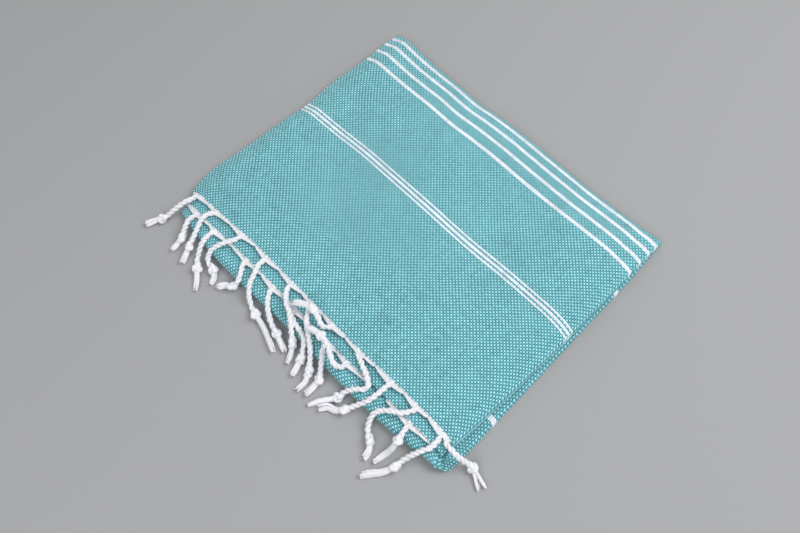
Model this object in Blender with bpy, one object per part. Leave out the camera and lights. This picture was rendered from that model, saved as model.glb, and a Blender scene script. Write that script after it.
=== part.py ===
"""A flat-woven bath towel, folded for storage, with a knotted fringe at each woven end.

The cloth is one woven piece. It is folded in half across its width, then in three along its
length, so it lies as six plies. The fringed end on top shows at the front (-Y). The other
fringed end is tucked inside, behind the front fold. Each ply and each rounded fold is its
own solid, and so is each twisted tassel.

The origin is at the bottom centre of the folded cloth. +X runs along the weft stripes to the
side fold, +Y runs from the fringe to the long back fold, and +Z is up.
"""

import math

import bmesh
import bpy
from mathutils import Vector

# Driving dimensions, in metres.
FOLDED_WIDTH = 0.256  # along X, from the selvedges to the side folds
FOLDED_DEPTH = 0.216  # along Y, from the front fold to the back fold
CLOTH_THICKNESS = 0.0012
PLY_GAP = 0.0012  # air between two plies of the loosely folded cloth
TOP_SET_BACK = 0.022  # the top ply's fringed edge, behind the front fold
UNDER_SET_BACK = 0.012  # the second ply's fringed edge, behind the front fold
TUCKED_SET_BACK = 0.050  # the tucked end's edge, in front of the back fold
TUCKED_SIDE_RECESS = 0.005  # the tucked plies' side fold, inside the other side folds
TOUCH_GAP = 0.0003  # between pieces that lie face to face

TASSEL_DIAMETER = 0.0030
KNOT_DIAMETER = 0.0066
TUCKED_KNOT_DIAMETER = 0.0050
KNOT_HALF_LENGTH = 0.0027
TASSEL_POINT_SPACING = 0.0065
STRAIGHT_ROOT = 0.0025  # each tassel leaves the woven edge straight for this far
TUCKED_TASSELS_PER_PLY = 10
TUCKED_TASSEL_SPACING = 0.0245
FOLD_SEGMENTS = 10  # flats around each half-round fold

TEAL = (0.184, 0.474, 0.533)
WHITE = (0.86, 0.86, 0.88)

PLY_PITCH = CLOTH_THICKNESS + PLY_GAP
PLY_NAMES = (
    "base_outer_ply",
    "base_inner_ply",
    "tucked_lower_ply",
    "tucked_upper_ply",
    "under_fringed_ply",
    "top_fringed_ply",
)
BOTTOM_OF = {name: level * PLY_PITCH for level, name in enumerate(PLY_NAMES)}

LEFT = -FOLDED_WIDTH / 2
RIGHT = FOLDED_WIDTH / 2
FRONT = -FOLDED_DEPTH / 2
BACK = FOLDED_DEPTH / 2
TOP_EDGE = FRONT + TOP_SET_BACK
UNDER_EDGE = FRONT + UNDER_SET_BACK
TUCKED_EDGE = BACK - TUCKED_SET_BACK


def outer_radius(low_ply, high_ply):
    """The outside radius of the half-round fold that joins two plies."""
    return (BOTTOM_OF[high_ply] + CLOTH_THICKNESS - BOTTOM_OF[low_ply]) / 2


SIDE_RADIUS = outer_radius("base_outer_ply", "base_inner_ply")
SIDE_AXIS = RIGHT - SIDE_RADIUS - TOUCH_GAP  # the plies end and the side folds start here
TUCKED_SIDE_AXIS = SIDE_AXIS - TUCKED_SIDE_RECESS
FRONT_AXIS = FRONT + outer_radius("base_outer_ply", "tucked_upper_ply") + TOUCH_GAP
BACK_AXIS = BACK - outer_radius("base_outer_ply", "top_fringed_ply") - TOUCH_GAP

# The tassels on the front end. Each has the ply that it grows from, the X of its root, its
# route's own points in millimetres after the straight root, and which of those is the knot.
FRONT_TASSELS = (
    ("top", -121, 4, ((-119, -95, 13.5), (-120, -101, 12.5), (-122, -108, 9.5), (-124, -113, 5.5),
                      (-126, -117, 3.6), (-129, -122, 2.0), (-131, -128, 1.6))),
    ("under", -112, 3, ((-111, -102, 10.4), (-108, -107, 10.2), (-106, -112, 7.2),
                        (-104, -117, 3.6), (-103, -122, 1.8), (-102, -127, 1.6))),
    ("top", -99, 4, ((-101, -93, 13.4), (-101, -99, 13.0), (-99, -105, 10.8), (-97, -111, 7.5),
                     (-95, -117, 4.5), (-93, -122, 2.4), (-90, -128, 1.6))),
    ("under", -92, 4, ((-91, -102, 10.4), (-89, -107, 10.2), (-88, -112, 7.2), (-85, -118, 2.5),
                       (-79, -123, 3.6), (-73, -128, 1.8), (-67, -134, 1.6))),
    ("top", -73, 5, ((-73, -94, 13.2), (-76, -100, 13.0), (-79, -106, 10.4), (-80, -111, 7.0),
                     (-77, -115, 3.5), (-71, -116, 3.6), (-66, -119, 1.8), (-64, -124, 1.6))),
    ("under", -58, 3, ((-56, -102, 10.4), (-52, -106, 10.0), (-50, -111, 7.0),
                       (-52, -115, 3.6), (-56, -117, 2.0), (-59, -122, 1.6))),
    ("top", -48, 5, ((-47, -94, 13.4), (-44, -100, 13.2), (-42, -106, 10.6), (-38, -111, 6.5),
                     (-33, -114, 2.5), (-26, -116, 3.6), (-17, -118, 2.0), (-8, -121, 1.6),
                     (2, -125, 1.6))),
    ("under", -30, 4, ((-28, -102, 10.4), (-24, -106, 10.0), (-19, -110, 7.5), (-13, -113, 4.0),
                       (-6, -115, 3.6), (1, -117, 1.8), (7, -119, 1.6))),
    ("top", -22, 4, ((-20, -93, 13.8), (-14, -98, 14.2), (-6, -102, 14.0), (2, -108, 10.0),
                     (7, -112, 5.5), (11, -117, 2.0), (14, -123, 1.6))),
    ("under", -8, 5, ((-7, -101, 10.2), (-1, -103, 10.2), (6, -104, 10.3), (12, -106, 10.1),
                      (16, -111, 7.0), (18, -115, 3.6), (20, -120, 1.8), (22, -126, 1.6))),
    ("top", -1, 5, ((1, -93, 13.6), (6, -98, 14.4), (12, -102, 14.2), (19, -107, 11.0),
                    (24, -112, 6.5), (28, -117, 3.6), (31, -123, 1.8), (31, -130, 1.6))),
    ("top", 18, 3, ((18, -90, 13.2), (15, -93, 15.8), (9, -91, 17.6),
                    (2, -90, 18.0), (-4, -92, 17.8), (-9, -96, 17.7))),
    ("under", 24, 3, ((25, -102, 10.2), (29, -106, 10.0), (33, -111, 7.0),
                      (36, -115, 3.6), (37, -121, 1.8), (37, -128, 1.6))),
    ("under", 42, 4, ((43, -101, 11.0), (39, -104, 14.0), (33, -102, 16.8), (27, -99, 18.4),
                      (21, -98, 18.4), (15, -99, 18.4), (10, -101, 18.2))),
    ("top", 43, 7, ((47, -90, 13.4), (51.5, -92, 13.8), (58, -94.5, 13.8), (63, -98, 12.8),
                    (62, -101.5, 11.4), (58, -105, 10.4), (54.5, -109.5, 7.2),
                    (53, -114, 3.6), (50.5, -118, 2.0), (46.5, -124, 1.6), (43, -131, 1.6))),
    ("top", 72, 4, ((71.5, -93, 13.6), (70.8, -98, 13.4), (69.5, -103.5, 11.4),
                    (66, -109.5, 7.4), (61.5, -117, 3.6), (57.5, -121, 1.8),
                    (52.5, -123, 1.6), (49.5, -128, 1.6))),
    ("top", 95, 7, ((93.5, -91.5, 13.6), (90, -95, 13.8), (84.5, -98.5, 13.4),
                    (80, -102, 12.0), (77.5, -106, 10.4), (77.8, -110.5, 7.0),
                    (80.5, -115, 3.2), (86, -118.5, 3.6), (90, -123, 1.8), (91.5, -129, 1.6))),
    ("under", 98, 1, ((98.5, -102.5, 11.2), (99.5, -108, 11.4), (100, -112.5, 8.4),
                      (99.5, -115.5, 4.4), (98.5, -119.5, 1.9), (97, -126, 1.6))),
    ("top", 118, 5, ((118, -91, 13.0), (117, -96, 13.6), (114, -102, 13.0), (111, -108, 10.0),
                     (109, -113, 6.0), (108, -119, 3.6), (105, -126, 2.0), (101, -131, 1.6),
                     (97, -137, 1.6))),
    ("top", 123, 4, ((126, -89.5, 13.6), (130.5, -89.5, 12.6), (134.5, -88, 9.0),
                     (137.5, -86.5, 5.6), (140.5, -86, 3.6), (146.5, -88, 1.8),
                     (153, -91, 1.6))),
)

# The tucked tassels lie behind the tucked edge in a shallow S. These are offsets from the
# edge in millimetres, across and along, and the knot is the point with this number.
TUCKED_ROUTE = ((0.5, 6), (2.2, 13), (1.0, 20), (-1.8, 27), (-1.2, 34), (0.6, 41))
TUCKED_KNOT = 3


def clear_scene():
    for obj in list(bpy.data.objects):
        bpy.data.objects.remove(obj, do_unlink=True)


def cloth_material(name, colour, roughness):
    """A woven cotton finish of one colour."""
    material = bpy.data.materials.new(name)
    material.use_nodes = True
    shader = material.node_tree.nodes["Principled BSDF"]
    shader.inputs["Base Color"].default_value = (*colour, 1.0)
    shader.inputs["Roughness"].default_value = roughness
    shader.inputs["Metallic"].default_value = 0.0
    return material


def mesh_object(name, mesh_builder, material):
    """A named object from a bmesh that a builder function fills."""
    shape = bmesh.new()
    mesh_builder(shape)
    bmesh.ops.recalc_face_normals(shape, faces=shape.faces)
    mesh = bpy.data.meshes.new(name)
    shape.to_mesh(mesh)
    shape.free()
    mesh.materials.append(material)
    obj = bpy.data.objects.new(name, mesh)
    bpy.context.scene.collection.objects.link(obj)
    return obj


def add_ply(name, right, front, back, material):
    """A flat ply of the cloth, from the selvedge at the left to the given right side."""
    low = Vector((LEFT, front, BOTTOM_OF[name]))
    high = Vector((right, back, BOTTOM_OF[name] + CLOTH_THICKNESS))
    size = high - low

    def build(shape):
        bmesh.ops.create_cube(shape, size=1.0)
        bmesh.ops.scale(shape, vec=size, verts=shape.verts)

    ply = mesh_object(name, build, material)
    ply.location = (low + high) / 2
    return ply


def add_fold(name, low_ply, high_ply, axis_at, start, end, outward, material):
    """A half-round fold that joins two plies.

    It turns about the line at axis_at, runs from start to end along that line, and bulges
    towards outward, which is "+X", "+Y" or "-Y".
    """
    outer = outer_radius(low_ply, high_ply)
    inner = outer - CLOTH_THICKNESS
    middle = BOTTOM_OF[low_ply] + outer

    def place(radius, angle, along):
        bulge = radius * math.cos(angle)
        height = middle + radius * math.sin(angle)
        if outward == "+X":
            return (axis_at + TOUCH_GAP + bulge, along, height)
        side = 1 if outward == "+Y" else -1
        return (along, axis_at + side * (TOUCH_GAP + bulge), height)

    def build(shape):
        steps = [math.pi * step / FOLD_SEGMENTS - math.pi / 2 for step in range(FOLD_SEGMENTS + 1)]
        rims = []
        for along in (start, end):
            ring = [shape.verts.new(place(outer, angle, along)) for angle in steps]
            ring += [shape.verts.new(place(inner, angle, along)) for angle in reversed(steps)]
            rims.append(ring)
        count = len(rims[0])
        for index in range(count):
            following = (index + 1) % count
            shape.faces.new((rims[0][index], rims[0][following], rims[1][following], rims[1][index]))
        for rim in rims:
            for step in range(FOLD_SEGMENTS):
                last = count - 1 - step
                shape.faces.new((rim[step], rim[step + 1], rim[last - 1], rim[last]))

    fold = mesh_object(name, build, material)
    fold.data.shade_smooth()
    fold.data.set_sharp_from_angle(angle=math.radians(40))
    return fold


def smooth_route(points, knot_point, spacing):
    """Points at an even spacing on a smooth curve through the route, and the knot's place."""
    ends = [2 * points[0] - points[1]] + list(points) + [2 * points[-1] - points[-2]]
    fine = []
    knot_sample = 0
    per_span = 24
    for span in range(len(points) - 1):
        before, start, end, after = ends[span:span + 4]
        if span == knot_point:
            knot_sample = len(fine)
        for step in range(per_span):
            t = step / per_span
            fine.append(0.5 * (2 * start + (end - before) * t
                               + (2 * before - 5 * start + 4 * end - after) * t ** 2
                               + (3 * start - before - 3 * end + after) * t ** 3))
    fine.append(points[-1].copy())
    lengths = [0.0]
    for first, second in zip(fine, fine[1:]):
        lengths.append(lengths[-1] + (second - first).length)

    def at(distance):
        index = next(i for i in range(1, len(fine)) if lengths[i] >= distance or i == len(fine) - 1)
        share = (distance - lengths[index - 1]) / (lengths[index] - lengths[index - 1])
        return fine[index - 1].lerp(fine[index], share)

    knot = lengths[knot_sample]
    free = knot - STRAIGHT_ROOT
    before_knot = max(2, round(free / spacing))
    after_knot = max(2, round((lengths[-1] - knot) / spacing))
    places = [0.0] + [STRAIGHT_ROOT + free * step / before_knot for step in range(before_knot)]
    places += [knot - KNOT_HALF_LENGTH, knot, knot + KNOT_HALF_LENGTH]
    places += [knot + (lengths[-1] - knot) * step / after_knot for step in range(1, after_knot + 1)]
    return [at(place) for place in places], before_knot + 2


def add_tassel(name, root, heading, route, knot_point, knot_diameter, material):
    """A tassel: a round strand from the woven edge with one knot in it, as a bevelled curve."""
    points = [root, root + heading * STRAIGHT_ROOT] + [Vector(point) for point in route]
    places, knot_index = smooth_route(points, knot_point + 2, TASSEL_POINT_SPACING)
    curve = bpy.data.curves.new(name, "CURVE")
    curve.dimensions = "3D"
    curve.bevel_depth = TASSEL_DIAMETER / 2
    curve.bevel_resolution = 2
    curve.use_fill_caps = True
    spline = curve.splines.new("POLY")
    spline.points.add(len(places) - 1)
    for index, place in enumerate(places):
        spline.points[index].co = (*place, 1.0)
        spline.points[index].radius = knot_diameter / TASSEL_DIAMETER if index == knot_index else 1.0
    curve.materials.append(material)
    tassel = bpy.data.objects.new(name, curve)
    bpy.context.scene.collection.objects.link(tassel)
    return tassel


def build_plies(material):
    side = SIDE_AXIS
    add_ply("base_outer_ply", side, FRONT_AXIS, BACK_AXIS, material)
    add_ply("base_inner_ply", side, FRONT_AXIS, BACK_AXIS, material)
    add_ply("tucked_lower_ply", TUCKED_SIDE_AXIS, FRONT_AXIS, TUCKED_EDGE, material)
    add_ply("tucked_upper_ply", TUCKED_SIDE_AXIS, FRONT_AXIS, TUCKED_EDGE, material)
    add_ply("under_fringed_ply", side, UNDER_EDGE, BACK_AXIS, material)
    add_ply("top_fringed_ply", side, TOP_EDGE, BACK_AXIS, material)


def build_folds(material):
    add_fold("back_fold_outer", "base_outer_ply", "top_fringed_ply",
             BACK_AXIS, LEFT, SIDE_AXIS, "+Y", material)
    add_fold("back_fold_inner", "base_inner_ply", "under_fringed_ply",
             BACK_AXIS, LEFT, SIDE_AXIS, "+Y", material)
    add_fold("front_fold_outer", "base_outer_ply", "tucked_upper_ply",
             FRONT_AXIS, LEFT, TUCKED_SIDE_AXIS, "-Y", material)
    add_fold("front_fold_inner", "base_inner_ply", "tucked_lower_ply",
             FRONT_AXIS, LEFT, TUCKED_SIDE_AXIS, "-Y", material)
    add_fold("side_fold_top", "under_fringed_ply", "top_fringed_ply",
             SIDE_AXIS, TOP_EDGE, BACK_AXIS, "+X", material)
    add_fold("side_fold_tucked", "tucked_lower_ply", "tucked_upper_ply",
             TUCKED_SIDE_AXIS, FRONT_AXIS, TUCKED_EDGE, "+X", material)
    add_fold("side_fold_base", "base_outer_ply", "base_inner_ply",
             SIDE_AXIS, FRONT_AXIS, BACK_AXIS, "+X", material)


def build_front_tassels(material):
    edge_of = {"top": TOP_EDGE, "under": UNDER_EDGE}
    numbers = {"top": 0, "under": 0}
    for row, root_x, knot_point, route in FRONT_TASSELS:
        numbers[row] += 1
        height = BOTTOM_OF[f"{row}_fringed_ply"] + CLOTH_THICKNESS / 2
        root = Vector((root_x / 1000, edge_of[row] - TOUCH_GAP, height))
        metres = [(x / 1000, y / 1000, z / 1000) for x, y, z in route]
        add_tassel(f"tassel_{row}_{numbers[row]:02d}", root, Vector((0, -1, 0)), metres,
                   knot_point, KNOT_DIAMETER, material)


def build_tucked_tassels(material):
    row_start = LEFT + TUCKED_TASSEL_SPACING / 2
    middle = (BOTTOM_OF["base_inner_ply"] + CLOTH_THICKNESS + BOTTOM_OF["under_fringed_ply"]) / 2
    for row, shift in (("lower", 0.0), ("upper", TUCKED_TASSEL_SPACING / 2)):
        for number in range(TUCKED_TASSELS_PER_PLY):
            root_x = row_start + shift + number * TUCKED_TASSEL_SPACING
            height = BOTTOM_OF[f"tucked_{row}_ply"] + CLOTH_THICKNESS / 2
            root = Vector((root_x, TUCKED_EDGE + TOUCH_GAP, height))
            route = [(root_x + across / 1000, TUCKED_EDGE + along / 1000, middle)
                     for across, along in TUCKED_ROUTE]
            add_tassel(f"tassel_tucked_{row}_{number + 1:02d}", root, Vector((0, 1, 0)), route,
                       TUCKED_KNOT, TUCKED_KNOT_DIAMETER, material)


def main():
    clear_scene()
    teal_cotton = cloth_material("teal_cotton", TEAL, 0.85)
    white_cotton = cloth_material("white_cotton", WHITE, 0.9)
    build_plies(teal_cotton)
    build_folds(teal_cotton)
    build_front_tassels(white_cotton)
    build_tucked_tassels(white_cotton)


main()
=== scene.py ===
# %% [markdown]
# # A folded cotton bath towel with knotted tassels
# This lesson builds a flat-woven bath towel, folded in half and then in thirds, and
# laid on a table with its fringe to the front. It has two kinds of piece. The cloth
# is one sheet that runs through every fold. The tassels are 40 short cords, each
# twisted out of the sheet's own warp threads and tied in a knot.
#
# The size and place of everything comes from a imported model, the frame, which is
# loaded first. Plain solids stand in it for the plies, folds and tassels, and this
# script puts finer pieces in their places.

# %% Load the frame
import math
import random

import bpy
import numpy as np
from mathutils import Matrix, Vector, noise


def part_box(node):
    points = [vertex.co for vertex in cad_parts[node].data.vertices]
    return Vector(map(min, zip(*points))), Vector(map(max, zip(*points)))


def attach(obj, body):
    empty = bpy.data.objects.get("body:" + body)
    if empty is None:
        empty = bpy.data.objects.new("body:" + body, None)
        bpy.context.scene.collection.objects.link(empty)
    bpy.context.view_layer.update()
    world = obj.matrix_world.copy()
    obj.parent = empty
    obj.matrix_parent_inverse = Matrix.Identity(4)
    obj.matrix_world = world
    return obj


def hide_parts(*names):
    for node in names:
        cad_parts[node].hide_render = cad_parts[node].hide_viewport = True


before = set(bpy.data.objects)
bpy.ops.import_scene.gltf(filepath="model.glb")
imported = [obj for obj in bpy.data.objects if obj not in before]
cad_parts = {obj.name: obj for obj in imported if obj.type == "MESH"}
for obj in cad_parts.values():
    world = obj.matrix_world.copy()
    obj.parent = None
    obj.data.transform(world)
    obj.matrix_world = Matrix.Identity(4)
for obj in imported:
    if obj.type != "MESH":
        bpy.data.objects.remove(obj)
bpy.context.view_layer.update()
MM = 0.001
print("plain solids in the frame:", len(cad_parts))

# %% [markdown]
# ## The camera
# The camera comes first, because every later choice is judged through it. It looks
# down steeply from the front right, with a 35 mm lens on a 36 mm wide sensor, and
# it isn't rolled. `to_track_quat` turns its view axis, -Z, towards the target.

# %% Camera
CAMERA_PLACE = Vector((0.1816, -0.1851, 0.4698))
CAMERA_TARGET = Vector((0.0133, -0.0233, 0.0))
camera_data = bpy.data.cameras.new("studio_camera")
camera_data.lens = 35
camera_data.sensor_width = 36
camera = bpy.data.objects.new("studio_camera", camera_data)
camera.location = CAMERA_PLACE
camera.rotation_mode = "QUATERNION"
camera.rotation_quaternion = (CAMERA_TARGET - CAMERA_PLACE).to_track_quat("-Z", "Y")
bpy.context.scene.collection.objects.link(camera)
bpy.context.scene.camera = camera
bpy.context.scene.view_settings.view_transform = "Standard"
print("camera distance in mm:", round((CAMERA_TARGET - CAMERA_PLACE).length / MM))

# %% [markdown]
# ## Routes of the tassels
# A tassel is limp, so it goes where it was dropped: out of the cloth's edge, over
# the plies below and down to the table. Its route is a short list of points. A
# Catmull-Rom curve is a good smooth line for that, because it passes through every
# point that was placed, and a Bezier curve would need handles too.
#
# The front tassels hang off two edges, of the top ply and of the ply under it. Each
# row says which ply, where along the edge the root is, which point carries the knot,
# and the route after the root, in millimetres.

# %% Front tassel routes
FRONT_TASSELS = (
    ("top", -121, 4, (
        (-119, -95, 13.5), (-120, -101, 12.5), (-122, -108, 9.5), (-124, -113, 5.5),
        (-126, -117, 3.6), (-129, -122, 2.0), (-131, -128, 1.6))),
    ("under", -112, 3, (
        (-111, -102, 10.4), (-108, -107, 10.2), (-106, -112, 7.2), (-104, -117, 3.6),
        (-103, -122, 1.8), (-102, -127, 1.6))),
    ("top", -99, 4, (
        (-101, -93, 13.4), (-101, -99, 13.0), (-99, -105, 10.8), (-97, -111, 7.5),
        (-95, -117, 4.5), (-93, -122, 2.4), (-90, -128, 1.6))),
    ("under", -92, 4, (
        (-91, -102, 10.4), (-89, -107, 10.2), (-88, -112, 7.2), (-85, -118, 2.5),
        (-79, -123, 3.6), (-73, -128, 1.8), (-67, -134, 1.6))),
    ("top", -73, 5, (
        (-73, -94, 13.2), (-76, -100, 13.0), (-79, -106, 10.4), (-80, -111, 7.0),
        (-77, -115, 3.5), (-71, -116, 3.6), (-66, -119, 1.8), (-64, -124, 1.6))),
    ("under", -58, 3, (
        (-56, -102, 10.4), (-52, -106, 10.0), (-50, -111, 7.0), (-52, -115, 3.6),
        (-56, -117, 2.0), (-59, -122, 1.6))),
    ("top", -48, 5, (
        (-47, -94, 13.4), (-44, -100, 13.2), (-42, -106, 10.6), (-38, -111, 6.5),
        (-33, -114, 2.5), (-26, -116, 3.6), (-17, -118, 2.0), (-8, -121, 1.6), (2, -125, 1.6))),
    ("under", -30, 4, (
        (-28, -102, 10.4), (-24, -106, 10.0), (-19, -110, 7.5), (-13, -113, 4.0),
        (-6, -115, 3.6), (1, -117, 1.8), (7, -119, 1.6))),
    ("top", -22, 4, (
        (-20, -93, 13.8), (-14, -98, 14.2), (-6, -102, 14.0), (2, -108, 10.0), (7, -112, 5.5),
        (11, -117, 2.0), (14, -123, 1.6))),
    ("under", -8, 5, (
        (-7, -101, 10.2), (-1, -103, 10.2), (6, -104, 10.3), (12, -106, 10.1),
        (16, -111, 7.0), (18, -115, 3.6), (20, -120, 1.8), (22, -126, 1.6))),
    ("top", -1, 5, (
        (1, -93, 13.6), (6, -98, 14.4), (12, -102, 14.2), (19, -107, 11.0), (24, -112, 6.5),
        (28, -117, 3.6), (31, -123, 1.8), (31, -130, 1.6))),
    ("top", 18, 3, (
        (18, -90, 13.2), (15, -93, 15.8), (9, -91, 17.6), (2, -90, 18.0), (-4, -92, 17.8),
        (-9, -96, 17.7))),
    ("under", 24, 3, (
        (25, -102, 10.2), (29, -106, 10.0), (33, -111, 7.0), (36, -115, 3.6), (37, -121, 1.8),
        (37, -128, 1.6))),
    ("under", 42, 4, (
        (43, -101, 11.0), (39, -104, 14.0), (33, -102, 16.8), (27, -99, 18.4),
        (21, -98, 18.4), (15, -99, 18.4), (10, -101, 18.2))),
    ("top", 43, 7, (
        (47, -90, 13.4), (51.5, -92, 13.8), (58, -94.5, 13.8), (63, -98, 12.8),
        (62, -101.5, 11.4), (58, -105, 10.4), (54.5, -109.5, 7.2), (53, -114, 3.6),
        (50.5, -118, 2.0), (46.5, -124, 1.6), (43, -131, 1.6))),
    ("top", 72, 4, (
        (71.5, -93, 13.6), (70.8, -98, 13.4), (69.5, -103.5, 11.4), (66, -109.5, 7.4),
        (61.5, -117, 3.6), (57.5, -121, 1.8), (52.5, -123, 1.6), (49.5, -128, 1.6))),
    ("top", 95, 7, (
        (93.5, -91.5, 13.6), (90, -95, 13.8), (84.5, -98.5, 13.4), (80, -102, 12.0),
        (77.5, -106, 10.4), (77.8, -110.5, 7.0), (80.5, -115, 3.2), (86, -118.5, 3.6),
        (90, -123, 1.8), (91.5, -129, 1.6))),
    ("under", 98, 1, (
        (98.5, -102.5, 11.2), (99.5, -108, 11.4), (100, -112.5, 8.4), (99.5, -115.5, 4.4),
        (98.5, -119.5, 1.9), (97, -126, 1.6))),
    ("top", 118, 5, (
        (118, -91, 13.0), (117, -96, 13.6), (114, -102, 13.0), (111, -108, 10.0),
        (109, -113, 6.0), (108, -119, 3.6), (105, -126, 2.0), (101, -131, 1.6),
        (97, -137, 1.6))),
    ("top", 123, 4, (
        (126, -89.5, 13.6), (130.5, -89.5, 12.6), (134.5, -88, 9.0), (137.5, -86.5, 5.6),
        (140.5, -86, 3.6), (146.5, -88, 1.8), (153, -91, 1.6))),
)
print("front tassels:", len(FRONT_TASSELS))

# %% Smooth line through the points of a route
ROOT_GAP = 0.3
STRAIGHT_ROOT = 2.5
STEP = 0.6


def smooth_line(points, step=STEP):
    """A Catmull-Rom curve through the points, resampled to even steps."""
    points = np.array(points, float)
    before = 2 * points[0] - points[1]
    after = 2 * points[-1] - points[-2]
    held = np.vstack([before, points, after])
    share = np.linspace(0, 1, 24, endpoint=False)[:, None]
    line = []
    for start in range(len(points) - 1):
        a, b, c, d = held[start:start + 4]
        line.append(0.5 * (2 * b + (c - a) * share
                           + (2 * a - 5 * b + 4 * c - d) * share ** 2
                           + (3 * b - a - 3 * c + d) * share ** 3))
    line = np.vstack([*line, points[-1:]])
    return resample(line, step)


def resample(line, step):
    """The same line with its points an even step apart."""
    along = lengths_along(line)
    count = max(2, round(along[-1] / step) + 1)
    places = np.linspace(0, along[-1], count)
    return np.stack([np.interp(places, along, line[:, axis]) for axis in range(3)], axis=1)


def lengths_along(line):
    """How far along the line each of its points lies."""
    steps = np.linalg.norm(np.diff(line, axis=0), axis=1)
    return np.concatenate([[0], np.cumsum(steps)])


def middle_height(node):
    """The height of the middle of a ply, in millimetres."""
    low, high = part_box(node)
    return (low.z + high.z) / 2 / MM


def front_route(ply, root_x, rest):
    """The whole route of a front tassel, from its root at the ply's front edge."""
    node = {"top": "top_fringed_ply", "under": "under_fringed_ply"}[ply]
    root = (root_x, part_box(node)[0].y / MM - ROOT_GAP, middle_height(node))
    leaving = (root[0], root[1] - STRAIGHT_ROOT, root[2])
    return [root, leaving, *rest]


ply, root_x, _, rest = FRONT_TASSELS[0]
test_line = smooth_line(front_route(ply, root_x, rest))
print("first tassel in mm:", round(lengths_along(test_line)[-1], 1))

# %% [markdown]
# The other end of the towel is tucked inside the fold, so its tassels lie flat and
# nearly straight in the pocket between the plies. Nobody sees them, but the towel
# has them, and they follow one wavy route that a loop repeats along both edges.

# %% Tucked tassel routes
TUCKED_SPACING = 24.5
TUCKED_SWAY = ((0.5, 6), (2.2, 13), (1.0, 20), (-1.8, 27), (-1.2, 34), (0.6, 41))
TUCKED_KNOT = 3
POCKET_MIDDLE = 6.6


def tucked_routes(row):
    """The roots and routes of the ten tassels on one tucked ply, left to right."""
    low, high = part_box(f"tucked_{row}_ply")
    left_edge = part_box("top_fringed_ply")[0].x / MM
    edge = high.y / MM
    first = left_edge + TUCKED_SPACING / 2 * (2 if row == "upper" else 1)
    for number in range(10):
        x = first + TUCKED_SPACING * number
        root = (x, edge + ROOT_GAP, (low.z + high.z) / 2 / MM)
        leaving = (x, root[1] + STRAIGHT_ROOT, root[2])
        rest = [(x + across, edge + onward, POCKET_MIDDLE - 2.2 * (onward / 41) ** 3)
                for across, onward in TUCKED_SWAY]
        yield [root, leaving, *rest]


print("tucked tassels:", sum(len(list(tucked_routes(row))) for row in ("lower", "upper")))

# %% [markdown]
# ## Tubes
# Every thread here is a tube swept along a line. A curve with a bevel does that for
# one thread, but a tassel has a dozen of them that start, swell and taper at their
# own places, so a small mesh writer is simpler. It carries a frame along the line
# without twisting it, puts a ring at each point, and closes both ends.

# %% Mesh writer
def link_mesh(name, mesh, material):
    """An object for this mesh, in the scene and with its material."""
    mesh.materials.append(material)
    made = bpy.data.objects.new(name, mesh)
    bpy.context.scene.collection.objects.link(made)
    return made


class MeshWriter:
    """Collects corners, faces and a map of length and turn, then makes an object."""

    def __init__(self):
        self.corners = []
        self.faces = []
        self.maps = []
        self.count = 0

    def tube(self, line, radii, sides=8, turn=0.0, rough=0.0):
        """Adds a closed tube, whose skin swells and sinks by the share rough."""
        line = np.array(line, float)
        radii = np.broadcast_to(np.array(radii, float), len(line))
        along = lengths_along(line)
        side, up = carried_frame(line)
        angles = turn + np.linspace(0, 2 * math.pi, sides, endpoint=False)
        if rough:
            skin = line[:, None] + 2.0 * np.cos(angles)[None, :, None] * side[:, None]
            swell = [noise.noise(point / 1.5 + angle)
                     for ring in skin for point, angle in zip(ring, angles)]
            radii = radii[:, None] * (1 + rough * np.reshape(swell, (len(line), sides)))
        else:
            radii = np.repeat(radii[:, None], sides, axis=1)
        rings = (line[:, None] + radii[:, :, None]
                 * (np.cos(angles)[None, :, None] * side[:, None]
                    + np.sin(angles)[None, :, None] * up[:, None]))
        first = self.count
        self.corners.append(rings.reshape(-1, 3))
        self.count += rings.shape[0] * sides
        for ring in range(len(line) - 1):
            for place in range(sides):
                beside = (place + 1) % sides
                low = first + ring * sides
                high = low + sides
                self.faces.append((low + place, low + beside, high + beside, high + place))
                bottom, top = along[ring], along[ring + 1]
                left, right = place / sides, (place + 1) / sides
                self.maps.append(((bottom, left), (bottom, right), (top, right), (top, left)))
        self.faces.append(tuple(first + place for place in reversed(range(sides))))
        self.maps.append(((0, 0),) * sides)
        last = first + (len(line) - 1) * sides
        self.faces.append(tuple(last + place for place in range(sides)))
        self.maps.append(((along[-1], 0),) * sides)

    def make(self, name, material):
        """The finished object, in metres and shaded smooth."""
        mesh = bpy.data.meshes.new(name)
        mesh.from_pydata((np.vstack(self.corners) * MM).tolist(), [], self.faces)
        strand = mesh.uv_layers.new(name="Strand")
        places = np.array([place for face in self.maps for place in face], np.float32)
        strand.data.foreach_set("uv", places.ravel())
        mesh.shade_smooth()
        return link_mesh(name, mesh, material)


def unit(vectors):
    """The vectors, each one long."""
    return vectors / np.maximum(np.linalg.norm(vectors, axis=-1, keepdims=True), 1e-9)


def carried_frame(line):
    """Two directions across the line at each point, carried along without a twist."""
    ahead = unit(np.gradient(line, axis=0))
    start = np.array((0, 0, 1.0)) if abs(ahead[0][2]) < 0.9 else np.array((1.0, 0, 0))
    side = [unit(np.cross(start, ahead[0]))]
    for direction in ahead[1:]:
        kept = side[-1] - direction * (side[-1] @ direction)
        side.append(unit(kept))
    side = np.array(side)
    return side, np.cross(ahead, side)


test_tube = MeshWriter()
test_tube.tube(test_line, 1.0)
print("faces of a tube along the first tassel:", len(test_tube.faces))

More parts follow.
